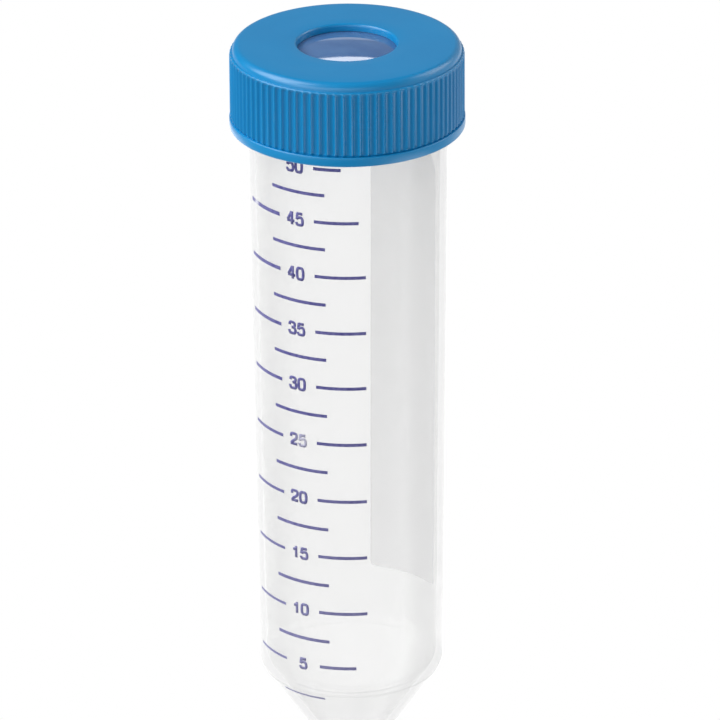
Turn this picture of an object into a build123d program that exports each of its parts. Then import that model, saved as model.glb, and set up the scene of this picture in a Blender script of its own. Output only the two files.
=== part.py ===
from build123d import *
import os
from math import asin, cos, hypot, pi, radians, sin, tan

# A 50 ml conical centrifuge tube with an open-centre screw cap over a rubber septum.
# Sizes are in mm. Each piece is first made upright on the tube's own axis: the tip is at
# height 0, the cap is on top, and the scale faces -Y. The closed tube is then turned
# over and stood on its cap, because it can't stand on its tip and rolls on its side.

# Tube
tube_length = 114.4  # tip to lip
neck_radius = 14.75  # outside, at the neck
body_taper = 0.92  # how much less the radius is where the cone begins
body_wall = 1.05
cone_wall = 1.15
cone_half_angle = 33.9  # degrees
tip_radius = 3.2  # outside
shoulder_blend = 1.5
lip_rounding = 0.3
neck_cover = 0.4  # how far inside the cap's rim the neck's straight stretch begins

# Screw thread, right-handed
thread_pitch = 4.0
thread_turns = 1.25
thread_depth = 0.8  # stands out of the neck
thread_root_width = 1.6
thread_crest_width = 0.8
thread_drop = 1.8  # lip to the middle of the thread's upper end
thread_play = 0.2  # between the two threads' flanks when tight
thread_clearance = 0.3  # crest to opposite wall, on both threads
thread_bury = 0.3  # how far a ridge reaches into its wall

# Septum
septum_thickness = 1.6
septum_edge = 0.2
dome_rise = 0.55  # the middle bulges into the cap's hole
dome_gap = 0.3  # between the bulge and the hole's wall
seat_gap = 0.05  # on each face of the septum

# Cap
plate_thickness = 1.1
hole_radius = 7.53
hole_edge = 0.25
skirt_wall = 1.0  # bore to the foot of the ribs
skirt_below_thread = 1.55  # middle of the inner thread's lower end to the cap's bottom
rib_count = 90
rib_depth = 0.4
rib_share = 0.72  # of each rib's pitch
rim_stand = 0.1  # how far the plain band at the bottom stands out past the ribs
rim_height = 1.5
rim_edge = 0.3
crown_step = 0.45  # how far the smooth disc on top is set in from the ribs
crown_height = 1.3
crown_rounding = 1.1

# Heights
septum_bottom = tube_length + seat_gap
septum_top = septum_bottom + septum_thickness
plate_bottom = septum_top + seat_gap
cap_top = plate_bottom + plate_thickness
crown_bottom = cap_top - crown_height
thread_rise = thread_pitch * thread_turns
thread_start = tube_length - thread_drop - thread_rise
flank_slope = (thread_root_width - thread_crest_width) / 2 / thread_depth
thread_offset = thread_root_width - flank_slope * thread_clearance + thread_play
cap_thread_start = thread_start - thread_offset
cap_bottom = cap_thread_start - skirt_below_thread
rim_top = cap_bottom + rim_height
neck_base = cap_bottom + neck_cover

# Radii
shoulder_radius = neck_radius - body_taper
cap_crest_radius = neck_radius + thread_clearance
bore_radius = neck_radius + thread_depth + thread_clearance
rib_root = bore_radius + skirt_wall
skirt_radius = rib_root + rib_depth
rim_radius = skirt_radius + rim_stand
crown_radius = skirt_radius - crown_step
inner_tip = tip_radius - cone_wall
inner_shoulder_radius = shoulder_radius - body_wall
inner_neck_radius = neck_radius - body_wall

# The cone: its sides meet on the axis below the tip's rounding
alpha = radians(cone_half_angle)
apex_height = tip_radius - tip_radius / sin(alpha)
shoulder_height = apex_height + shoulder_radius / tan(alpha)
inner_apex_height = tip_radius - inner_tip / sin(alpha)
inner_shoulder_height = inner_apex_height + inner_shoulder_radius / tan(alpha)


def turned(outline):
    # A round solid from a closed outline of radius and height
    points = [(radius, 0, height) for radius, height in outline]
    return revolve(make_face(Polyline(*points, close=True)), Axis.Z)


def rounded_tip(radius):
    # The arc from the axis round to where the cone's straight side leaves it
    low = (0, 0, tip_radius - radius)
    half = (pi / 2 - alpha) / 2
    middle = (radius * sin(half), 0, tip_radius - radius * cos(half))
    end = (radius * cos(alpha), 0, tip_radius - radius * sin(alpha))
    return ThreePointArc(low, middle, end)


def tube_outline():
    # The body and the cone each keep their own wall
    outer_arc = rounded_tip(tip_radius)
    inner_arc = rounded_tip(inner_tip)
    outer = Polyline(
        outer_arc @ 1,
        (shoulder_radius, 0, shoulder_height),
        (neck_radius, 0, neck_base),
        (neck_radius, 0, tube_length),
        (inner_neck_radius, 0, tube_length),
        (inner_neck_radius, 0, neck_base),
        (inner_shoulder_radius, 0, inner_shoulder_height),
        inner_arc @ 1,
    )
    axis_line = Line(inner_arc @ 0, outer_arc @ 0)
    return make_face([outer_arc, outer, inner_arc, axis_line])


def round_corners(face, places, radius):
    # Rounds the corners of an outline that lie at these radii and heights
    chosen = []
    for corner in face.vertices():
        if any(hypot(corner.X - r, corner.Z - h) < 0.01 for r, h in places):
            chosen.append(corner)
    return face.fillet_2d(radius, chosen)


def thread_ridge(wall_radius, crest_radius, start_height):
    # One ridge of trapezium section, screwed up round the axis from +X
    outwards = 1 if crest_radius > wall_radius else -1
    root = wall_radius - outwards * thread_bury
    half_crest = thread_crest_width / 2
    half_root = half_crest + flank_slope * abs(crest_radius - root)
    section = make_face(
        Polyline(
            (root, 0, start_height - half_root),
            (crest_radius, 0, start_height - half_crest),
            (crest_radius, 0, start_height + half_crest),
            (root, 0, start_height + half_root),
            close=True,
        )
    )
    path = Helix(thread_pitch, thread_rise, wall_radius, center=(0, 0, start_height))
    return sweep(section, path=path, is_frenet=True)


def make_tube():
    face = tube_outline().faces()[0]
    face = round_corners(face, [(shoulder_radius, shoulder_height)], shoulder_blend)
    lip = [(neck_radius, tube_length), (inner_neck_radius, tube_length)]
    face = round_corners(face, lip, lip_rounding)
    shell = revolve(face, Axis.Z)
    ridge = thread_ridge(neck_radius, neck_radius + thread_depth, thread_start)
    return shell + ridge


def on_circle(radius, angle):
    return radius * cos(angle), radius * sin(angle)


def ribbed_outline():
    # Half-round ribs on a round wall, one arc and one short flat for each
    step = 2 * pi / rib_count
    half = step * rib_share / 2
    edges = []
    for index in range(rib_count):
        mid = index * step
        start = on_circle(rib_root, mid - half)
        end = on_circle(rib_root, mid + half)
        after = on_circle(rib_root, mid + step - half)
        edges.append(ThreePointArc(start, on_circle(skirt_radius, mid), end))
        edges.append(Line(end, after))
    return make_face(edges)


def make_cap():
    skirt = Pos(0, 0, rim_top) * extrude(ribbed_outline(), crown_bottom - rim_top)
    outline = Polyline(
        (0, 0, cap_bottom),
        (rim_radius, 0, cap_bottom),
        (rim_radius, 0, rim_top),
        (rib_root, 0, rim_top),
        (rib_root, 0, crown_bottom),
        (crown_radius, 0, crown_bottom),
        (crown_radius, 0, cap_top),
        (0, 0, cap_top),
        close=True,
    )
    face = make_face(outline).faces()[0]
    face = round_corners(face, [(crown_radius, cap_top)], crown_rounding)
    face = round_corners(face, [(rim_radius, cap_bottom)], rim_edge)
    body = revolve(face, Axis.Z) + skirt - bore_cutter() - hole_cutter()
    return body + thread_ridge(bore_radius, cap_crest_radius, cap_thread_start)


def bore_cutter():
    # The space for the neck, open at the bottom
    below = cap_bottom - 1
    return turned(
        [(0, below), (bore_radius, below), (bore_radius, plate_bottom), (0, plate_bottom)]
    )


def hole_cutter():
    # The centre hole, with its upper edge eased
    wide = hole_radius + hole_edge
    return turned(
        [
            (0, plate_bottom - 1),
            (hole_radius, plate_bottom - 1),
            (hole_radius, cap_top - hole_edge),
            (wide, cap_top),
            (wide, cap_top + 1),
            (0, cap_top + 1),
        ]
    )


def make_septum():
    dome_radius = hole_radius - dome_gap
    edge = neck_radius - septum_edge
    sphere = (dome_radius**2 + dome_rise**2) / (2 * dome_rise)
    half = asin(dome_radius / sphere) / 2
    centre = septum_top + dome_rise - sphere
    dome = ThreePointArc(
        (dome_radius, 0, septum_top),
        (sphere * sin(half), 0, centre + sphere * cos(half)),
        (0, 0, septum_top + dome_rise),
    )
    disc = Polyline(
        (0, 0, septum_top + dome_rise),
        (0, 0, septum_bottom),
        (edge, 0, septum_bottom),
        (neck_radius, 0, septum_bottom + septum_edge),
        (neck_radius, 0, septum_top - septum_edge),
        (edge, 0, septum_top),
        (dome_radius, 0, septum_top),
    )
    return revolve(make_face([disc, dome]), Axis.Z)


def standing_place():
    # Turned over about Y, so that the scale still faces -Y, with the cap's top on the bench
    return Pos(0, 0, cap_top) * Rotation(0, 180, 0)


def main():
    os.makedirs("parts", exist_ok=True)
    pieces = {"tube": make_tube(), "septum": make_septum(), "screw_cap": make_cap()}
    place = standing_place()
    for name, piece in pieces.items():
        export_step(place * piece, f"parts/{name}.step")


main()
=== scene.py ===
import math

import bpy
from mathutils import Matrix, Vector


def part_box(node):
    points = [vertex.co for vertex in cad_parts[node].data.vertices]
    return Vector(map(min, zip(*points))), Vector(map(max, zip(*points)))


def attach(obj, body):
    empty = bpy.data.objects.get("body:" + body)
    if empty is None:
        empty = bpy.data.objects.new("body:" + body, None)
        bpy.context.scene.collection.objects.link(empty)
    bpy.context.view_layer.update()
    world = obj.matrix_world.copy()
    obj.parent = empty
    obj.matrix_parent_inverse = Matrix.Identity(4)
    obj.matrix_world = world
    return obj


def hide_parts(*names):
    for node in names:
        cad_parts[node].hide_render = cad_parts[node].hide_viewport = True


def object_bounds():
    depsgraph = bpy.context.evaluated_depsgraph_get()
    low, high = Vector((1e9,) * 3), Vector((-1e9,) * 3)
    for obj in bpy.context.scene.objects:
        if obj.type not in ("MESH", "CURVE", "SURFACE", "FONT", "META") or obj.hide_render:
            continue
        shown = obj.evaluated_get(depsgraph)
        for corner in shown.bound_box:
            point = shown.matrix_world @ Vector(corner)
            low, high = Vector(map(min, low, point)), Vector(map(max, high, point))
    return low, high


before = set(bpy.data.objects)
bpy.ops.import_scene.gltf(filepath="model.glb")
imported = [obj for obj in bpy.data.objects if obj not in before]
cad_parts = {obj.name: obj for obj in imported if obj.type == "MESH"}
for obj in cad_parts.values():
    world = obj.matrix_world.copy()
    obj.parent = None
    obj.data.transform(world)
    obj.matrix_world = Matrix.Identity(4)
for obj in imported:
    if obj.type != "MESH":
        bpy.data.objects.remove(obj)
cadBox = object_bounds()
print("stage: frame loaded with", ", ".join(sorted(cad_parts)))

mm = 0.001
fullTurn = 2 * math.pi
mergeReach = 0.001 * mm  # corners nearer than this become one

# Every piece is modelled upright, with the tip at height 0, the cap on top and the scale facing -Y.
# It is then turned over about Y and stood on its cap, where the frame has it.
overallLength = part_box("tube")[1][2] / mm
standing = Matrix.Translation((0, 0, overallLength * mm)) @ Matrix.Rotation(math.pi, 4, "Y")


def alone(piece):
    bpy.ops.object.select_all(action="DESELECT")
    piece.select_set(True)
    bpy.context.view_layer.objects.active = piece


def standUp(piece):
    piece.matrix_world = standing @ piece.matrix_world
    alone(piece)
    bpy.ops.object.transform_apply(location=True, rotation=True, scale=True)
    return piece


def applyModifiers(piece):
    alone(piece)
    for modifier in list(piece.modifiers):
        bpy.ops.object.modifier_apply(modifier=modifier.name)


def smoothBy(piece, angle):
    alone(piece)
    bpy.ops.object.shade_smooth_by_angle(angle=math.radians(angle))


def joinAll(pieces, name):
    alone(pieces[0])
    for piece in pieces:
        piece.select_set(True)
    bpy.ops.object.join()
    whole = bpy.context.object
    whole.name = name
    return whole


def selectVertices(piece, indices):
    mesh = piece.data
    mesh.polygons.foreach_set("select", [False] * len(mesh.polygons))
    mesh.edges.foreach_set("select", [False] * len(mesh.edges))
    flags = [False] * len(mesh.vertices)
    for index in indices:
        flags[index] = True
    mesh.vertices.foreach_set("select", flags)
    alone(piece)
    bpy.ops.object.mode_set(mode="EDIT")
    bpy.ops.mesh.select_mode(type="VERT")


def arcPoints(centre, radius, start, end, steps):
    # From one angle to another, in degrees, where 90 is straight up
    points = []
    for step in range(steps + 1):
        angle = math.radians(start + (end - start) * step / steps)
        points.append((centre[0] + radius * math.cos(angle), centre[1] + radius * math.sin(angle)))
    return points


def roundedCorner(before, corner, after, radius, steps):
    # Points of the arc that rounds a corner of an outline
    here = Vector(corner)
    a = (Vector(before) - here).normalized()
    b = (Vector(after) - here).normalized()
    half = a.angle(b) / 2
    centre = here + (a + b).normalized() * radius / math.sin(half)
    first = here + a * radius / math.tan(half) - centre
    last = here + b * radius / math.tan(half) - centre
    return [tuple(centre + first.slerp(last, step / steps) * radius) for step in range(steps + 1)]


def ringStack(name, outline, segments, filled=True):
    # A ring is extruded and scaled from each (radius, height) of the outline to the next
    radius, height = outline[0]
    bpy.ops.object.select_all(action="DESELECT")
    bpy.ops.mesh.primitive_circle_add(
        vertices=segments,
        radius=radius * mm,
        fill_type="NGON" if filled else "NOTHING",
        location=(0, 0, height * mm),
    )
    piece = bpy.context.object
    piece.name = name
    bpy.ops.object.transform_apply(location=True, rotation=True, scale=True)
    bpy.ops.object.mode_set(mode="EDIT")
    bpy.ops.mesh.select_all(action="SELECT")
    for nextRadius, nextHeight in outline[1:]:
        rise = (0, 0, (nextHeight - height) * mm)
        bpy.ops.mesh.extrude_region_move(TRANSFORM_OT_translate={"value": rise})
        share = nextRadius / radius
        bpy.ops.transform.resize(value=(share, share, 1), center_override=(0, 0, nextHeight * mm))
        radius, height = nextRadius, nextHeight
    bpy.ops.mesh.select_all(action="SELECT")
    bpy.ops.mesh.remove_doubles(threshold=mergeReach)
    bpy.ops.mesh.normals_make_consistent(inside=False)
    bpy.ops.object.mode_set(mode="OBJECT")
    return piece


thread = {
    "pitch": 4.0,
    "turns": 1.25,
    "crestHalf": 0.4,
    "flankSlope": 0.5,  # how much wider each side gets for its depth
    "depth": 0.8,
    "bury": 0.3,
    "fade": 30,  # degrees over which each end dies away into the wall
    "endShare": 0.12,  # of the section, which is left at its very end
    "stepsPerTurn": 96,
    "endSides": 4,  # of the hole at each end of the ridge, which is filled
}


def threadRidge(name, wallRadius, outwards, startHeight):
    # Its trapezium is drawn in the XZ plane and screwed up round the axis
    crestHalf = thread["crestHalf"]
    rootHalf = crestHalf + thread["flankSlope"] * (thread["depth"] + thread["bury"])
    root = wallRadius - outwards * thread["bury"]
    crest = wallRadius + outwards * thread["depth"]
    bpy.ops.object.select_all(action="DESELECT")
    bpy.ops.mesh.primitive_plane_add(size=1)
    ridge = bpy.context.object
    ridge.name = name
    corners = [(root, -rootHalf), (crest, -crestHalf), (root, rootHalf), (crest, crestHalf)]
    for vertex, (radius, height) in zip(ridge.data.vertices, corners):
        vertex.co = (radius * mm, 0, (startHeight + height) * mm)
    screw = ridge.modifiers.new("screw", "SCREW")
    screw.angle = fullTurn * thread["turns"]
    screw.screw_offset = thread["pitch"] * thread["turns"] * mm
    screw.steps = screw.render_steps = int(thread["stepsPerTurn"] * thread["turns"])
    screw.use_merge_vertices = False
    applyModifiers(ridge)
    fadeEnds(ridge, root, startHeight)
    bpy.ops.object.mode_set(mode="EDIT")
    bpy.ops.mesh.select_all(action="SELECT")
    bpy.ops.mesh.fill_holes(sides=thread["endSides"])
    bpy.ops.mesh.normals_make_consistent(inside=False)
    bpy.ops.object.mode_set(mode="OBJECT")
    return ridge


def fadeEnds(ridge, root, startHeight):
    # Near each end the section shrinks towards its buried foot
    for vertex in ridge.data.vertices:
        turned = math.atan2(vertex.co.y, vertex.co.x) % fullTurn
        rise = vertex.co.z / mm - startHeight
        turned += fullTurn * round(rise / thread["pitch"] - turned / fullTurn)
        along = math.degrees(turned)
        left = min(along, 360 * thread["turns"] - along) / thread["fade"]
        risen = math.sin(math.pi / 2 * min(1, max(0, left)))
        share = thread["endShare"] + (1 - thread["endShare"]) * risen
        middle = thread["pitch"] * turned / fullTurn
        radius = root + (vertex.co.xy.length / mm - root) * share
        vertex.co.xy = vertex.co.xy.normalized() * radius * mm
        vertex.co.z = (startHeight + middle + (rise - middle) * share) * mm


def joinSolids(piece, other):
    # The two become one closed skin, and the other is used up
    union = piece.modifiers.new("union", "BOOLEAN")
    union.operation = "UNION"
    union.solver = "EXACT"
    union.object = other
    applyModifiers(piece)
    bpy.data.objects.remove(other)


def newMaterial(name):
    material = bpy.data.materials.new(name)
    material.use_nodes = True
    tree = material.node_tree
    return material, tree, tree.nodes["Principled BSDF"]


def setInputs(node, values):
    for label, value in values.items():
        node.inputs[label].default_value = value


def arithmetic(tree, operation, first, second, third=None):
    node = tree.nodes.new("ShaderNodeMath")
    node.operation = operation
    for socket, value in zip(node.inputs, (first, second, third)):
        if isinstance(value, (int, float)):
            socket.default_value = value
        elif value:
            tree.links.new(value, socket)
    return node.outputs[0]


def objectPlace(tree):
    return tree.nodes.new("ShaderNodeTexCoord").outputs["Object"]


def separated(tree, vector):
    parts = tree.nodes.new("ShaderNodeSeparateXYZ")
    tree.links.new(vector, parts.inputs[0])
    return parts.outputs


def rangeNode(tree, value, source, target):
    # Carries a value from one range to another, and stops at its ends
    node = tree.nodes.new("ShaderNodeMapRange")
    node.inputs["From Min"].default_value, node.inputs["From Max"].default_value = source
    node.inputs["To Min"].default_value, node.inputs["To Max"].default_value = target
    tree.links.new(value, node.inputs["Value"])
    return node


def shareRamp(tree, value, stops, interpolation):
    # Values by place, from 0 to 1
    ramp = tree.nodes.new("ShaderNodeValToRGB")
    ramp.color_ramp.interpolation = interpolation
    elements = ramp.color_ramp.elements
    while len(elements) < len(stops):
        elements.new(1.0)
    for element, (place, level) in zip(elements, stops):
        element.position = place
        element.color = (level, level, level, 1)
    tree.links.new(value, ramp.inputs["Fac"])
    return ramp.outputs["Color"]


colourMix = {"share": 0, "first": 6, "second": 7, "result": 2}  # sockets by place, as their labels repeat


def mixedColour(tree, share, first, second):
    # From a linked colour to a plain one
    mix = tree.nodes.new("ShaderNodeMix")
    mix.data_type = "RGBA"
    tree.links.new(share, mix.inputs[colourMix["share"]])
    tree.links.new(first, mix.inputs[colourMix["first"]])
    mix.inputs[colourMix["second"]].default_value = second
    return mix.outputs[colourMix["result"]]


# The noise values between which the first shade gives way to the second
cloud = {"detail": 4, "from": 0.35, "to": 0.65}


def cloudyColour(tree, look):
    # A colour that drifts between two shades
    noise = tree.nodes.new("ShaderNodeTexNoise")
    setInputs(noise, {"Scale": look["cloudScale"], "Detail": cloud["detail"]})
    shades = tree.nodes.new("ShaderNodeValToRGB")
    places = (cloud["from"], cloud["to"])
    for element, place, shade in zip(shades.color_ramp.elements, places, look["shades"]):
        element.position = place
        element.color = shade
    tree.links.new(objectPlace(tree), noise.inputs["Vector"])
    tree.links.new(noise.outputs["Fac"], shades.inputs["Fac"])
    return shades.outputs["Color"]


skinDetail = {"ripple": 2, "grain": 3}


def mouldSkinGroup():
    # The unevenness of a moulded face: a slow ripple and a fine grain
    group = bpy.data.node_groups.new("mouldSkin", "ShaderNodeTree")
    inputs = ("Ripple Scale", "Grain Scale", "Ripple", "Grain", "Rough Low", "Rough High")
    for label in inputs:
        group.interface.new_socket(name=label, in_out="INPUT", socket_type="NodeSocketFloat")
    for label in ("Roughness", "Height"):
        group.interface.new_socket(name=label, in_out="OUTPUT", socket_type="NodeSocketFloat")
    nodes, links = group.nodes, group.links
    given, made = nodes.new("NodeGroupInput"), nodes.new("NodeGroupOutput")
    place = objectPlace(group)
    ripple, grain = nodes.new("ShaderNodeTexNoise"), nodes.new("ShaderNodeTexNoise")
    for noise, scale, detail in ((ripple, "Ripple Scale", "ripple"), (grain, "Grain Scale", "grain")):
        noise.inputs["Detail"].default_value = skinDetail[detail]
        links.new(place, noise.inputs["Vector"])
        links.new(given.outputs[scale], noise.inputs["Scale"])
    rippled = arithmetic(group, "MULTIPLY", ripple.outputs["Fac"], given.outputs["Ripple"])
    height = arithmetic(group, "MULTIPLY_ADD", grain.outputs["Fac"], given.outputs["Grain"], rippled)
    rough = nodes.new("ShaderNodeMapRange")
    links.new(ripple.outputs["Fac"], rough.inputs["Value"])
    links.new(given.outputs["Rough Low"], rough.inputs["To Min"])
    links.new(given.outputs["Rough High"], rough.inputs["To Max"])
    links.new(rough.outputs["Result"], made.inputs["Roughness"])
    links.new(height, made.inputs["Height"])
    return group


mouldSkin = mouldSkinGroup()


def addSkin(tree, shader, look):
    skin = tree.nodes.new("ShaderNodeGroup")
    skin.node_tree = mouldSkin
    setInputs(skin, look["skin"])
    bump = tree.nodes.new("ShaderNodeBump")
    bump.inputs["Distance"].default_value = look["skinDepth"]
    tree.links.new(skin.outputs["Height"], bump.inputs["Height"])
    tree.links.new(skin.outputs["Roughness"], shader.inputs["Roughness"])
    tree.links.new(bump.outputs["Normal"], shader.inputs["Normal"])


clearLook = {
    "cloudScale": 120,
    "shades": ((0.90, 0.90, 0.89, 1), (0.94, 0.94, 0.935, 1)),
    "edgeBlend": 0.4,
    "edgeColour": (0.42, 0.42, 0.42, 1),
    "haze": ((0, 0.10), (1, 0.27)),  # how opaque it is face on, and edge on
    # Painted shade: extra haze that greys the parting ring where it faces the front
    "ringPaintedShade": 0.13,  # more for the parting ring
    "ringShadeFront": -0.004,  # in metres: the ring is hazier only in front of this
    "shader": {"IOR": 1.49, "Specular IOR Level": 0.2, "Transmission Weight": 0.2},
    "skin": {
        "Ripple Scale": 90, "Grain Scale": 1200, "Ripple": 0.7, "Grain": 0.03,
        "Rough Low": 0.16, "Rough High": 0.24,
    },
    "skinDepth": 0.00003,
}


def clearPlastic():
    material, tree, shader = newMaterial("clearPlastic")
    # Greyer and less clear where the wall is seen edge on
    weight = tree.nodes.new("ShaderNodeLayerWeight")
    weight.inputs["Blend"].default_value = clearLook["edgeBlend"]
    facing = weight.outputs["Facing"]
    colour = mixedColour(tree, facing, cloudyColour(tree, clearLook), clearLook["edgeColour"])
    haze = shareRamp(tree, facing, clearLook["haze"], "LINEAR")
    # Painted shade: the parting ring is made hazier, and so greyer, along the front only
    parts = separated(tree, objectPlace(tree))
    halfRing = tube["ringWidth"] / 2
    level = (overallLength - tube["ringHeight"] - halfRing) * mm
    band = arithmetic(tree, "COMPARE", parts["Z"], level, halfRing * mm)
    front = arithmetic(tree, "LESS_THAN", parts["Y"], clearLook["ringShadeFront"])
    shadedFrontBand = arithmetic(tree, "MULTIPLY", band, front)
    ring = arithmetic(tree, "MULTIPLY", shadedFrontBand, clearLook["ringPaintedShade"])
    tree.links.new(colour, shader.inputs["Base Color"])
    tree.links.new(arithmetic(tree, "ADD", haze, ring), shader.inputs["Alpha"])
    setInputs(shader, clearLook["shader"])
    addSkin(tree, shader, clearLook)
    return material


blueLook = {
    "cloudScale": 60,
    "shades": ((0.0015, 0.232, 0.535, 1), (0.002, 0.248, 0.56, 1)),
    "shader": {"IOR": 1.49, "Specular IOR Level": 0.65},
    "skin": {
        "Ripple Scale": 160, "Grain Scale": 2400, "Ripple": 0.5, "Grain": 0.04,
        "Rough Low": 0.26, "Rough High": 0.36,
    },
    "skinDepth": 0.00002,
}


def bluePlastic():
    material, tree, shader = newMaterial("bluePlastic")
    tree.links.new(cloudyColour(tree, blueLook), shader.inputs["Base Color"])
    setInputs(shader, blueLook["shader"])
    addSkin(tree, shader, blueLook)
    return material


rubberLook = {
    "cloudScale": 300,
    "shades": ((0.075, 0.19, 0.45, 1), (0.10, 0.235, 0.51, 1)),
    "shader": {"IOR": 1.5, "Transmission Weight": 0.3},
    "skin": {
        "Ripple Scale": 220, "Grain Scale": 3000, "Ripple": 0.4, "Grain": 0.05,
        "Rough Low": 0.03, "Rough High": 0.07,
    },
    "skinDepth": 0.00002,
}


def septumRubber():
    material, tree, shader = newMaterial("septumRubber")
    tree.links.new(cloudyColour(tree, rubberLook), shader.inputs["Base Color"])
    setInputs(shader, rubberLook["shader"])
    addSkin(tree, shader, rubberLook)
    return material


inkLook = {
    "cloudScale": 2400,
    "shades": ((0.17, 0.165, 0.40, 1), (0.07, 0.065, 0.26, 1)),
    "wornColour": (0.74, 0.74, 0.80, 1),
    "shader": {"Roughness": 0.45},
}


def scaleInk():
    material, tree, shader = newMaterial("scaleInk")
    colour, place = cloudyColour(tree, inkLook), objectPlace(tree)
    # Worn places are paler towards their middle
    for turn, height, reach, wear in scale["worn"]:
        radius, angle = bodyRadius(height), math.radians(turn)
        spot = Vector((radius * math.sin(angle), -radius * math.cos(angle), height)) * mm
        away = tree.nodes.new("ShaderNodeVectorMath")
        away.operation = "DISTANCE"
        away.inputs[1].default_value = standing @ spot
        tree.links.new(place, away.inputs[0])
        fading = rangeNode(tree, away.outputs["Value"], (0, reach * mm), (wear, 0))
        colour = mixedColour(tree, fading.outputs["Result"], colour, inkLook["wornColour"])
    tree.links.new(colour, shader.inputs["Base Color"])
    setInputs(shader, inkLook["shader"])
    return material


patchLook = {
    "cloudScale": 500,
    "shades": ((0.90, 0.90, 0.90, 1), (0.94, 0.94, 0.94, 1)),
    # Painted shade from the cap: how opaque the patch is, from near the cap to further towards the cone
    "capShadeHeights": (0.025, 0.09),  # above the floor, in metres
    "capShadeOpacity": (0.50, 0.27),  # how opaque it is at these
    "shader": {"Roughness": 0.9, "IOR": 1.08, "Transmission Weight": 0.5},
}


def patchInk():
    material, tree, shader = newMaterial("patchInk")
    tree.links.new(cloudyColour(tree, patchLook), shader.inputs["Base Color"])
    # Painted shade: the patch is more opaque, and so greyer, near the cap, which shades it, and clearer
    # towards the cone
    height = separated(tree, objectPlace(tree))["Z"]
    shadeByHeight = rangeNode(tree, height, patchLook["capShadeHeights"], patchLook["capShadeOpacity"])
    tree.links.new(shadeByHeight.outputs["Result"], shader.inputs["Alpha"])
    setInputs(shader, patchLook["shader"])
    return material


tube = {
    "length": 114.4,
    "neckRadius": 14.75,
    "shoulderRadius": 13.83,
    "neckBase": 104.8,
    "bodyWall": 1.05,
    "coneWall": 1.15,
    "coneAngle": 33.9,
    "tipRadius": 3.2,
    "tipSteps": 12,
    "poleRadius": 0.12,  # of the small flat at the very tip
    "shoulderBlend": 2.2,
    "shoulderSteps": 8,
    "innerBlend": 3.4,
    "innerSteps": 10,
    "lipRounding": 0.3,
    "lipSteps": 4,
    "segments": 240,
    "threadStart": 107.6,
    "ringHeight": 16.95,  # the parting ring's lower edge
    "ringWidth": 0.4,
    "ringStand": 0.1,
    "ringSection": ((0, 0), (0.3, 1), (0.7, 1), (1, 0)),  # shares of its width and of how far it stands out
    "levelStep": 9,  # height between the rings of the plain body
    "levelMargins": (3, 2),  # above the shoulder, and below the neck's base
    "smoothAngle": 32,
}
coneAngle = math.radians(tube["coneAngle"])
apexHeight = tube["tipRadius"] * (1 - 1 / math.sin(coneAngle))
shoulderHeight = apexHeight + tube["shoulderRadius"] / math.tan(coneAngle)


def bodyRadius(height):
    # The outside of the tube at this height, in mm
    if height < shoulderHeight:
        return (height - apexHeight) * math.tan(coneAngle)
    share = min(1, (height - shoulderHeight) / (tube["neckBase"] - shoulderHeight))
    return tube["shoulderRadius"] + share * (tube["neckRadius"] - tube["shoulderRadius"])


def tipArc(radius):
    # From close to the axis round to where the cone's straight side begins
    first = math.degrees(math.asin(tube["poleRadius"] / radius)) - 90
    return arcPoints((0, tube["tipRadius"]), radius, first, -tube["coneAngle"], tube["tipSteps"])


def partingRing():
    # A low ridge round the top of the cone, where the two halves of the mould met
    points = []
    for along, share in tube["ringSection"]:
        height = tube["ringHeight"] + tube["ringWidth"] * along * math.cos(coneAngle)
        stand = tube["ringStand"] * share
        outer = bodyRadius(height) + stand * math.cos(coneAngle)
        points.append((outer, height - stand * math.sin(coneAngle)))
    return points


def bodyLevels():
    # Rings along the plain body, so that its long faces are divided
    above, below = tube["levelMargins"]
    first, last = shoulderHeight + above, tube["neckBase"] - below
    count = int((last - first) / tube["levelStep"]) + 1
    return [first + step * tube["levelStep"] for step in range(count)]


def makeTube():
    wall = tube["bodyWall"]
    innerTip = tube["tipRadius"] - tube["coneWall"]
    innerShoulder = tube["shoulderRadius"] - wall
    innerApex = tube["tipRadius"] - innerTip / math.sin(coneAngle)
    innerCorner = (innerShoulder, innerApex + innerShoulder / math.tan(coneAngle))
    innerNeck = tube["neckRadius"] - wall
    shoulder = (tube["shoulderRadius"], shoulderHeight)
    neckLow, innerLow = (tube["neckRadius"], tube["neckBase"]), (innerNeck, tube["neckBase"])
    lipOut, lipIn = (tube["neckRadius"], tube["length"]), (innerNeck, tube["length"])
    lipRounding, lipSteps = tube["lipRounding"], tube["lipSteps"]
    outerTip, innerTipArc = tipArc(tube["tipRadius"]), tipArc(innerTip)
    levels = bodyLevels()
    outline = outerTip + partingRing()
    outline += roundedCorner(outerTip[-1], shoulder, neckLow, tube["shoulderBlend"], tube["shoulderSteps"])
    outline += [(bodyRadius(level), level) for level in levels] + [neckLow]
    outline += roundedCorner(neckLow, lipOut, lipIn, lipRounding, lipSteps)
    outline += roundedCorner(lipOut, lipIn, innerLow, lipRounding, lipSteps) + [innerLow]
    outline += [(bodyRadius(level) - wall, level) for level in reversed(levels)]
    outline += roundedCorner(innerLow, innerCorner, innerTipArc[-1], tube["innerBlend"], tube["innerSteps"])
    outline += reversed(innerTipArc)
    shell = ringStack("tubeShell", outline, tube["segments"])
    joinSolids(shell, threadRidge("neckThread", tube["neckRadius"], 1, tube["threadStart"]))
    smoothBy(shell, tube["smoothAngle"])
    return standUp(shell)


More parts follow.
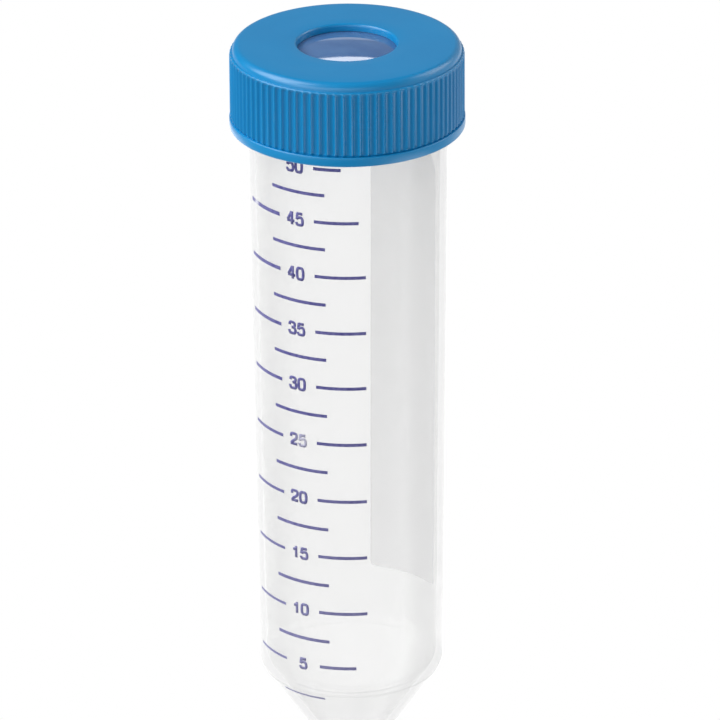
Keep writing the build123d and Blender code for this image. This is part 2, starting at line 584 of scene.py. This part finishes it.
cap = {
    "bottom": 104.4,
    "plate": 1.1,
    "holeRadius": 7.35,
    "holeEdge": 0.4,
    "holeSteps": 5,
    "flatMargin": 2,  # from the hole's edge to the next ring on the flat top
    "boreRadius": 15.85,
    "boreCorner": 0.3,
    "ribs": 90,
    "ribRoot": 16.85,
    "ribShares": (1.0, 0.90, 0.58, 0.20, 0.04, 0.0, 0.0),  # from a rib's crest to the middle of the gap
    # Below the crown the ribs grow out of a small ring: distance down, ring radius, rib radius
    "topRows": (
        (0.04, 17.00, 17.04),
        (0.10, 17.08, 17.13),
        (0.20, 17.12, 17.19),
        (0.32, 17.09, 17.23),
        (0.46, 16.98, 17.25),
        (0.62, 16.88, 17.25),
        (0.80, 16.85, 17.25),
    ),
    # At their foot: distance above the rim, root radius, rib radius
    "lowRows": ((0.50, 16.85, 17.25), (0.28, 16.86, 17.22), (0.12, 16.88, 17.10)),
    "rimRadius": 17.35,
    "rimHeight": 1.5,
    "rimTopEdge": 0.15,
    "rimTopSteps": 3,
    "rimEdge": 0.3,
    "rimSteps": 5,
    "flatRadius": 13.15,  # the top is flat as far out as this, and then droops
    "droopRadius": 60.0,
    "droopTilt": 2.5,  # degrees, where the tighter rounding takes over
    "droopSteps": 5,
    "crownRounding": 1.1,
    "crownTilt": 84.0,
    "crownSteps": 12,
    "crownHeight": 1.3,
    "threadStart": 105.95,
    "smoothAngle": 40,
}
capTop = overallLength
crownBottom = capTop - cap["crownHeight"]
rimTop = cap["bottom"] + cap["rimHeight"]
ribSteps = 2 * (len(cap["ribShares"]) - 1)


def makeCap():
    plateBottom = capTop - cap["plate"]
    hole, edge = cap["holeRadius"], cap["holeEdge"]
    ribRoot, bore, corner = cap["ribRoot"], cap["boreRadius"], cap["boreCorner"]
    flatRing = (hole + edge + cap["flatMargin"], capTop)
    outline = [(hole, plateBottom)]
    outline += roundedCorner((hole, plateBottom), (hole, capTop), flatRing, edge, cap["holeSteps"])
    outline += [flatRing]
    outline += crownOutline()
    outline += [(ribRoot, crownBottom)]
    rows = [(crownBottom - down, low, high) for down, low, high in cap["topRows"]]
    rows += [(rimTop + up, low, high) for up, low, high in cap["lowRows"]]
    outline += [(low, height) for height, low, high in rows]
    outline += [(ribRoot, rimTop)]
    rimOut, rimLow = (cap["rimRadius"], rimTop), (cap["rimRadius"], cap["bottom"])
    outline += roundedCorner((ribRoot, rimTop), rimOut, rimLow, cap["rimTopEdge"], cap["rimTopSteps"])
    outline += roundedCorner(rimOut, rimLow, (bore, cap["bottom"]), cap["rimEdge"], cap["rimSteps"])
    outline += [(bore + corner, cap["bottom"]), (bore, cap["bottom"] + corner)]
    outline += [(bore, plateBottom - corner), (bore - corner, plateBottom), (hole, plateBottom)]
    body = ringStack("screwCap", outline, cap["ribs"] * ribSteps, filled=False)
    raiseRibs(body, rows)
    joinSolids(body, threadRidge("capThread", bore, -1, cap["threadStart"]))
    smoothBy(body, cap["smoothAngle"])
    return standUp(body)


def crownOutline():
    # A gentle droop and then a tighter rounding, each an arc of (radius, height)
    droop, rounding = cap["droopRadius"], cap["crownRounding"]
    first, last = 90 - cap["droopTilt"], 90 - cap["crownTilt"]
    outline = arcPoints((cap["flatRadius"], capTop - droop), droop, 90, first, cap["droopSteps"])
    meeting = math.radians(first)
    centre = (outline[-1][0] - rounding * math.cos(meeting), outline[-1][1] - rounding * math.sin(meeting))
    return outline + arcPoints(centre, rounding, first, last, cap["crownSteps"])[1:]


def rowKey(height, radius):
    # To 0.01 mm, so that all the vertices of a row have the same one
    return round(height, 2), round(radius, 2)


def raiseRibs(body, rows):
    # Each column of each row is pushed out by its share, so that the ribs are round and end rounded
    columnStep = fullTurn / (cap["ribs"] * ribSteps)
    byRow = {}
    for vertex in body.data.vertices:
        turn = round(math.atan2(vertex.co.y, vertex.co.x) / columnStep) % ribSteps
        columns = byRow.setdefault(rowKey(vertex.co.z / mm, vertex.co.xy.length / mm), {})
        columns.setdefault(min(turn, ribSteps - turn), []).append(vertex.index)
    for height, low, high in rows:
        for offset, indices in byRow[rowKey(height, low)].items():
            share = cap["ribShares"][offset]
            if share:
                grow = 1 + (high - low) * share / low
                selectVertices(body, indices)
                bpy.ops.transform.resize(value=(grow, grow, 1), center_override=(0, 0, 0))
                bpy.ops.object.mode_set(mode="OBJECT")


septum = {
    "bottom": 114.45,
    "thickness": 1.6,
    "radius": 14.75,
    "edge": 0.2,
    "domeRadius": 7.2,
    "domeRise": 0.55,
    "domeMargin": 0.15,  # from the dome's foot to the next ring on the flat
    "domeSteps": 14,
    "poleRadius": 0.1,  # of the small flat in the middle
    "segments": 160,
    "smoothAngle": 40,
}


def makeSeptum():
    low = septum["bottom"]
    top = low + septum["thickness"]
    radius, edge, pole = septum["radius"], septum["edge"], septum["poleRadius"]
    foot, rise = septum["domeRadius"], septum["domeRise"]
    outline = [(pole, low), (radius - edge, low), (radius, low + edge), (radius, top - edge)]
    outline += [(radius - edge, top), (foot + septum["domeMargin"], top)]
    sphere = (foot ** 2 + rise ** 2) / (2 * rise)
    first, last = (90 - math.degrees(math.asin(end / sphere)) for end in (foot, pole))
    outline += arcPoints((0, top + rise - sphere), sphere, first, last, septum["domeSteps"])
    disc = ringStack("septumDisc", outline, septum["segments"])
    smoothBy(disc, septum["smoothAngle"])
    return standUp(disc)


scale = {
    "heights": {  # of each line, by its millilitres
        50: 102.90, 47.5: 98.80, 45: 94.50, 42.5: 90.22, 40: 85.83, 37.5: 81.40, 35: 76.91,
        32.5: 72.54, 30: 68.04, 27.5: 63.47, 25: 58.93, 22.5: 54.32, 20: 49.65, 17.5: 44.97,
        15: 40.42, 12.5: 35.75, 10: 31.18, 7.5: 26.42, 5: 22.13, 2.5: 16.25,
    },
    "numberedStep": 5,
    "lineWidth": 0.5,
    "coneWidth": 0.4,
    "rightSpan": (-20.0, 10.0),  # degrees round from the front
    "shorterRightSpans": {50: (-20.0, -4.0), 45: (-20.0, 6.0), 5: (-20.0, 3.0)},
    "coneSpan": (-52.0, -18.5),
    "leftStart": -73.0,
    "shortEnd": -13.5,
    # These drift a little from the foot of the scale to its top
    "leftWidths": (0.37, 0.62),
    "leftEnds": (-44.4, -43.0),
    "shortStarts": (-51.0, -48.5),
    "numberTurns": (-33.0, -31.9),
    "loneDigitShift": 1.4,
    "inkSink": 0.012,
    "inkThickness": 0.035,
    "columnStep": 0.35,
    "fewestColumns": 6,
    # Where the print is worn: degrees round, height, reach, how worn from 0 to 1
    "worn": ((-29.1, 58.9, 1.7, 0.75), (-66.0, 94.5, 0.9, 1.0), (-20.0, 10.0, 55.0, 0.2)),
}
topMark, coneMark = max(scale["heights"]), min(scale["heights"])


# Each digit's strokes, in shares of its width and height. Rounded strokes follow their points smoothly
digit = {
    "heights": (1.45, 1.78),  # between the middles of the end strokes, at the foot and top of the scale
    "width": 1.03,
    "advance": 1.5,
    "stroke": 0.45,
    "order": 3,  # of a rounded stroke's curve
    "resolution": 6,
    "shapes": {
        "0": [
            ([(0.5, -0.02), (0.12, -0.02), (0, 0.3), (0, 0.7), (0.12, 1.02), (0.5, 1.02),
              (0.88, 1.02), (1, 0.7), (1, 0.3), (0.88, -0.02), (0.5, -0.02)], True),
        ],
        "1": [([(0.62, -0.1), (0.62, 1.1)], False), ([(0.62, 0.86), (0.5, 0.76), (0.1, 0.74)], True)],
        "2": [
            ([(0.02, 0.68), (0.02, 1.0), (0.5, 1.02), (1, 1), (1, 0.6),
              (0.72, 0.42), (0.2, 0.2), (0.04, 0)], True),
            ([(-0.1, 0), (1.1, 0)], False),
        ],
        "3": [
            ([(0.02, 0.76), (0.1, 1.02), (0.5, 1.02), (0.95, 1.0), (0.95, 0.56), (0.4, 0.54)], True),
            ([(0.4, 0.54), (1.02, 0.56), (1.05, -0.02), (0.5, -0.02), (0.02, -0.02), (0, 0.28)], True),
        ],
        "4": [
            ([(0.72, -0.1), (0.72, 1.08)], False),
            ([(0.66, 1.04), (-0.02, 0.28)], False),
            ([(-0.12, 0.24), (1.14, 0.24)], False),
        ],
        "5": [
            ([(1.0, 1), (0.14, 1)], False),
            ([(0.2, 1.08), (0.08, 0.46)], False),
            ([(0.06, 0.5), (0.3, 0.66), (0.98, 0.68), (1.04, 0.0),
              (0.5, -0.02), (0.06, -0.02), (0, 0.22)], True),
        ],
    },
}


def giveThickness(shape):
    solid = shape.modifiers.new("ink", "SOLIDIFY")
    solid.thickness = scale["inkThickness"]
    solid.offset = 1
    applyModifiers(shape)


def wrapOnBody(shape, turn, height):
    # A flat shape, X round the tube and Y up it, is bent onto the tapered wall
    for vertex in shape.data.vertices:
        level = height + vertex.co.y
        radius = bodyRadius(level)
        angle = math.radians(turn) + vertex.co.x / radius
        stand = (radius - scale["inkSink"] + vertex.co.z) * mm
        vertex.co = (stand * math.sin(angle), -stand * math.cos(angle), level * mm)


def printedLine(span, height, width):
    length = math.radians(span[1] - span[0]) * bodyRadius(height)
    columns = max(scale["fewestColumns"], round(length / scale["columnStep"]))
    bpy.ops.object.select_all(action="DESELECT")
    bpy.ops.mesh.primitive_grid_add(x_subdivisions=columns, y_subdivisions=2, size=1)
    line = bpy.context.object
    line.scale = (length, width, 1)
    bpy.ops.object.transform_apply(location=True, rotation=True, scale=True)
    giveThickness(line)
    wrapOnBody(line, (span[0] + span[1]) / 2, height)
    return line


def digitStroke(points, rounded, tall):
    # A flat ribbon of even width along the points of one stroke
    bpy.ops.object.select_all(action="DESELECT")
    bpy.ops.curve.primitive_nurbs_path_add()
    stroke = bpy.context.object
    curve = stroke.data
    curve.splines.clear()
    spline = curve.splines.new("NURBS" if rounded else "POLY")
    spline.points.add(len(points) - 1)
    for point, (x, y) in zip(spline.points, points):
        point.co = (x * digit["width"], (y - 0.5) * tall, 0, 1)
        point.tilt = math.pi / 2
    if rounded:
        spline.order_u = digit["order"]
        spline.use_endpoint_u = points[0] != points[-1]
        spline.use_cyclic_u = points[0] == points[-1]
        spline.resolution_u = digit["resolution"]
    curve.twist_mode = "Z_UP"
    curve.extrude = digit["stroke"] / 2
    bpy.ops.object.convert(target="MESH")
    return bpy.context.object


def byLevel(ends, millilitres):
    # Between a value at the foot of the scale and one at its top
    foot, top = ends
    return foot + (top - foot) * millilitres / topMark


def printedNumber(millilitres, height):
    text = str(millilitres)
    tall = byLevel(digit["heights"], millilitres)
    strokes = []
    for place, character in enumerate(text):
        start = digit["advance"] * (place - len(text) / 2)
        for points, rounded in digit["shapes"][character]:
            stroke = digitStroke(points, rounded, tall)
            for vertex in stroke.data.vertices:
                vertex.co.x += start + (digit["advance"] - digit["width"]) / 2
            strokes.append(stroke)
    number = joinAll(strokes, "number")
    giveThickness(number)
    turn = byLevel(scale["numberTurns"], millilitres)
    if len(text) == 1:
        turn += scale["loneDigitShift"]
    wrapOnBody(number, turn, height)
    return number


def makeScale():
    lines, numbers = [], []
    for millilitres, height in scale["heights"].items():
        if millilitres == coneMark:
            lines.append(printedLine(scale["coneSpan"], height, scale["coneWidth"]))
        elif millilitres % scale["numberedStep"]:
            span = (byLevel(scale["shortStarts"], millilitres), scale["shortEnd"])
            lines.append(printedLine(span, height, scale["lineWidth"]))
        else:
            span = scale["shorterRightSpans"].get(millilitres, scale["rightSpan"])
            lines.append(printedLine(span, height, scale["lineWidth"]))
            numbers.append(printedNumber(millilitres, height))
            if millilitres < topMark:
                span = (scale["leftStart"], byLevel(scale["leftEnds"], millilitres))
                lines.append(printedLine(span, height, byLevel(scale["leftWidths"], millilitres)))
    return standUp(joinAll(lines, "scaleLines")), standUp(joinAll(numbers, "scaleNumbers"))


patch = {
    "turns": (117.0, 167.0),  # degrees round from the front
    "heights": (26.3, 97.2),
    "topCorner": 4.0,
    "lowCorner": 0.8,
    "cornerSteps": 8,
    "columns": 24,
    "rows": 12,
}


def cutAcross(count, length, direction):
    # Edges at even steps across a flat shape that is being edited
    for cut in range(1, count):
        place = Vector(direction) * (length * (cut / count - 0.5))
        bpy.ops.mesh.select_all(action="SELECT")
        bpy.ops.mesh.bisect(plane_co=place, plane_no=direction)


def makePatch():
    low, high = patch["heights"]
    middle = (low + high) / 2
    width = math.radians(patch["turns"][1] - patch["turns"][0]) * bodyRadius(middle)
    bpy.ops.object.select_all(action="DESELECT")
    bpy.ops.mesh.primitive_plane_add(size=1)
    field = bpy.context.object
    field.name = "writingPatch"
    field.scale = (width, high - low, 1)
    bpy.ops.object.transform_apply(location=True, rotation=True, scale=True)
    for corner, side in (("topCorner", 1), ("lowCorner", -1)):
        selectVertices(field, [vertex.index for vertex in field.data.vertices if vertex.co.y * side > 0])
        bpy.ops.mesh.bevel(offset=patch[corner], segments=patch["cornerSteps"], affect="VERTICES")
        bpy.ops.object.mode_set(mode="OBJECT")
    bpy.ops.object.mode_set(mode="EDIT")
    cutAcross(patch["columns"], width, (1, 0, 0))
    cutAcross(patch["rows"], high - low, (0, 1, 0))
    bpy.ops.object.mode_set(mode="OBJECT")
    giveThickness(field)
    wrapOnBody(field, sum(patch["turns"]) / 2, middle)
    return standUp(field)


def dress(piece, material, body):
    piece.data.materials.clear()
    piece.data.materials.append(material)
    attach(piece, body)


tubeShell = makeTube()
dress(tubeShell, clearPlastic(), "vessel")
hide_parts("tube")
print("stage: tube,", len(tubeShell.data.polygons), "faces")

screwCap = makeCap()
dress(screwCap, bluePlastic(), "cap")
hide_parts("screw_cap")
print("stage: cap,", len(screwCap.data.polygons), "faces")

septumDisc = makeSeptum()
dress(septumDisc, septumRubber(), "seal")
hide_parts("septum")
print("stage: septum,", len(septumDisc.data.polygons), "faces")

ink = scaleInk()
for printedPiece in makeScale():
    dress(printedPiece, ink, "vessel")
dress(makePatch(), patchInk(), "vessel")
print("stage: print")


room = {
    "floorSize": 8,
    "floorDrop": 0.0001,
    "floorFade": (0.15, 0.8),  # from the middle of the floor, in metres
    "floorShader": {"Base Color": (0.9, 0.9, 0.9, 1), "Roughness": 0.9, "Specular IOR Level": 0.1},
    "seenWorld": 1.0,  # how bright the world is where it is looked at
    # Light from round the upright tube, from behind by the left, the front and the right to behind again
    "belowLevel": (1.10, 0.50, 0.24, 0.17, 0.0, 0.68, 0.25, 1.10, 1.10),
    "aboveLevel": (0.30, 0.0, 0.0, 2.75, 1.20, 0.0, 1.24, 0.53, 0.30),
    # How much of each, and of neither, by the sine of the height
    "belowShare": ((-0.60, 0.0), (-0.42, 1.0), (-0.15, 1.0), (0.05, 0.0)),
    "aboveShare": ((-0.15, 0.0), (0.05, 1.0), (0.42, 1.0), (0.60, 0.0)),
    "ends": ((-0.60, 0.34), (-0.42, 0.0), (0.42, 0.0), (0.60, 0.14)),
    "lightDistance": 1.2,
    "upright": {  # as seen by the camera, with the cap on top: direction, size and power
        "leftBox": ((-0.74, -0.06, 0.68), (1.0, 1.0), 15.0),
        "rightBox": ((0.76, 0.28, 0.59), (0.7, 0.7), 3.8),
        "septumGlint": ((-0.04, 0.765, 0.645), (0.44, 0.28), 2.2),  # these two for the septum only
        "septumBand": ((0.0, 0.965, 0.262), (0.9, 0.08), 0.14),
    },
    "overhead": {  # as the part stands
        "ceiling": ((0.25, 0.55, 0.8), (1.6, 1.6), 11.5),
        "roomRight": ((-0.7, -0.3, 0.6), (0.8, 0.8), 3.8),
    },
}


def lookedAt(tree):
    # 1 for a ray from the camera, straight or through a clear piece, and 0 for any other
    path = tree.nodes.new("ShaderNodeLightPath")
    return arithmetic(tree, "MAXIMUM", path.outputs["Is Camera Ray"], path.outputs["Is Transmission Ray"])


def makeFloor():
    # It shows only to a look from above. From below it is clear, and it takes no part in the lighting
    bpy.ops.object.select_all(action="DESELECT")
    bpy.ops.mesh.primitive_plane_add(size=room["floorSize"], location=(0, 0, -room["floorDrop"]))
    floor = bpy.context.object
    floor.name = "floor"
    material, tree, shader = newMaterial("paleFloor")
    setInputs(shader, room["floorShader"])
    clear = tree.nodes.new("ShaderNodeBsdfTransparent")
    side = tree.nodes.new("ShaderNodeNewGeometry")
    above = arithmetic(tree, "SUBTRACT", lookedAt(tree), side.outputs["Backfacing"])
    above.node.use_clamp = True
    # Far away it gives way to the pale room, so that no horizon shows
    away = tree.nodes.new("ShaderNodeVectorMath")
    away.operation = "LENGTH"
    tree.links.new(objectPlace(tree), away.inputs[0])
    near = rangeNode(tree, away.outputs["Value"], room["floorFade"], (1, 0))
    near.interpolation_type = "SMOOTHSTEP"
    mix = tree.nodes.new("ShaderNodeMixShader")
    tree.links.new(arithmetic(tree, "MULTIPLY", above, near.outputs["Result"]), mix.inputs[0])
    tree.links.new(clear.outputs[0], mix.inputs[1])
    tree.links.new(shader.outputs[0], mix.inputs[2])
    tree.links.new(mix.outputs[0], tree.nodes["Material Output"].inputs["Surface"])
    floor.data.materials.append(material)


def makeWorld():
    # White where it is looked at. Where it lights or is mirrored, it is a room with bright and dark sides
    world = bpy.data.worlds.new("paleRoom")
    bpy.context.scene.world = world
    world.use_nodes = True
    tree = world.node_tree
    background = tree.nodes["Background"]
    background.inputs["Color"].default_value = (1, 1, 1, 1)
    place = tree.nodes.new("ShaderNodeTexCoord")
    upright = tree.nodes.new("ShaderNodeVectorMath")  # X to the right, Y to the front, Z up beside the tube
    upright.operation = "SCALE"
    upright.inputs["Scale"].default_value = -1
    tree.links.new(place.outputs["Generated"], upright.inputs[0])
    parts = separated(tree, upright.outputs[0])
    # Both are carried to shares from 0 to 1
    turn = arithmetic(tree, "ARCTAN2", parts["X"], parts["Y"])
    around = arithmetic(tree, "MULTIPLY_ADD", turn, 1 / fullTurn, 0.5)
    height = arithmetic(tree, "MULTIPLY_ADD", parts["Z"], 0.5, 0.5)
    total = None
    for level, share in (("belowLevel", "belowShare"), ("aboveLevel", "aboveShare"), (None, "ends")):
        byHeight = shareRamp(tree, height, [((z + 1) / 2, value) for z, value in room[share]], "EASE")
        if level:
            steps = len(room[level]) - 1
            byTurn = [(step / steps, value) for step, value in enumerate(room[level])]
            byHeight = arithmetic(tree, "MULTIPLY", byHeight, shareRamp(tree, around, byTurn, "LINEAR"))
        total = arithmetic(tree, "ADD", total, byHeight) if total else byHeight
    strength = tree.nodes.new("ShaderNodeMapRange")
    strength.inputs["To Max"].default_value = room["seenWorld"]
    tree.links.new(lookedAt(tree), strength.inputs["Value"])
    tree.links.new(total, strength.inputs["To Min"])
    tree.links.new(strength.outputs["Result"], background.inputs["Strength"])


def makeLamp(name, direction, size, power, turned):
    lamp = bpy.data.lights.new(name, "AREA")
    lamp.shape = "RECTANGLE"
    lamp.size, lamp.size_y = size
    lamp.energy = power
    holder = bpy.data.objects.new(name, lamp)
    bpy.context.scene.collection.objects.link(holder)
    way = Vector(direction).normalized()
    if turned:
        way = standing.to_3x3() @ way
    middle = (cadBox[0] + cadBox[1]) / 2
    holder.location = middle + way * room["lightDistance"]
    holder.rotation_euler = way.to_track_quat("Z", "Y").to_euler()
    # Clear pieces are seen through to the pale room, never to a lamp
    holder.visible_camera = holder.visible_transmission = False
    # The septum's two lamps light nothing else
    if name.startswith("septum"):
        lit = bpy.data.collections.new(name)
        lit.objects.link(septumDisc)
        holder.light_linking.receiver_collection = lit


def makeLights():
    for group, turned in (("upright", True), ("overhead", False)):
        for name, (direction, size, power) in room[group].items():
            makeLamp(name, direction, size, power, turned)


camera = {
    "place": (0.0, -1061.17, 529.54),  # on the upright tube's own axes
    "aim": (1.604, 0.0, 66.45),
    "roll": -0.404,
    "lens": 388.85,
    "sensor": 36,
}


def makeCamera():
    place, aim = Vector(camera["place"]) * mm, Vector(camera["aim"]) * mm
    forward = (aim - place).normalized()
    right = forward.cross(Vector((0, 0, 1))).normalized()
    up = right.cross(forward)
    view = Matrix((right, up, -forward)).transposed().to_4x4()
    view = view @ Matrix.Rotation(math.radians(camera["roll"]), 4, "Z")
    view.translation = place
    lens = bpy.data.cameras.new("camera")
    lens.lens = camera["lens"]
    lens.sensor_width = camera["sensor"]
    holder = bpy.data.objects.new("camera", lens)
    bpy.context.scene.collection.objects.link(holder)
    holder.matrix_world = standing @ view
    bpy.context.scene.camera = holder


makeFloor()
makeWorld()
makeLights()
makeCamera()
bpy.context.scene.view_settings.view_transform = "Standard"
print("stage: floor, lights and camera")
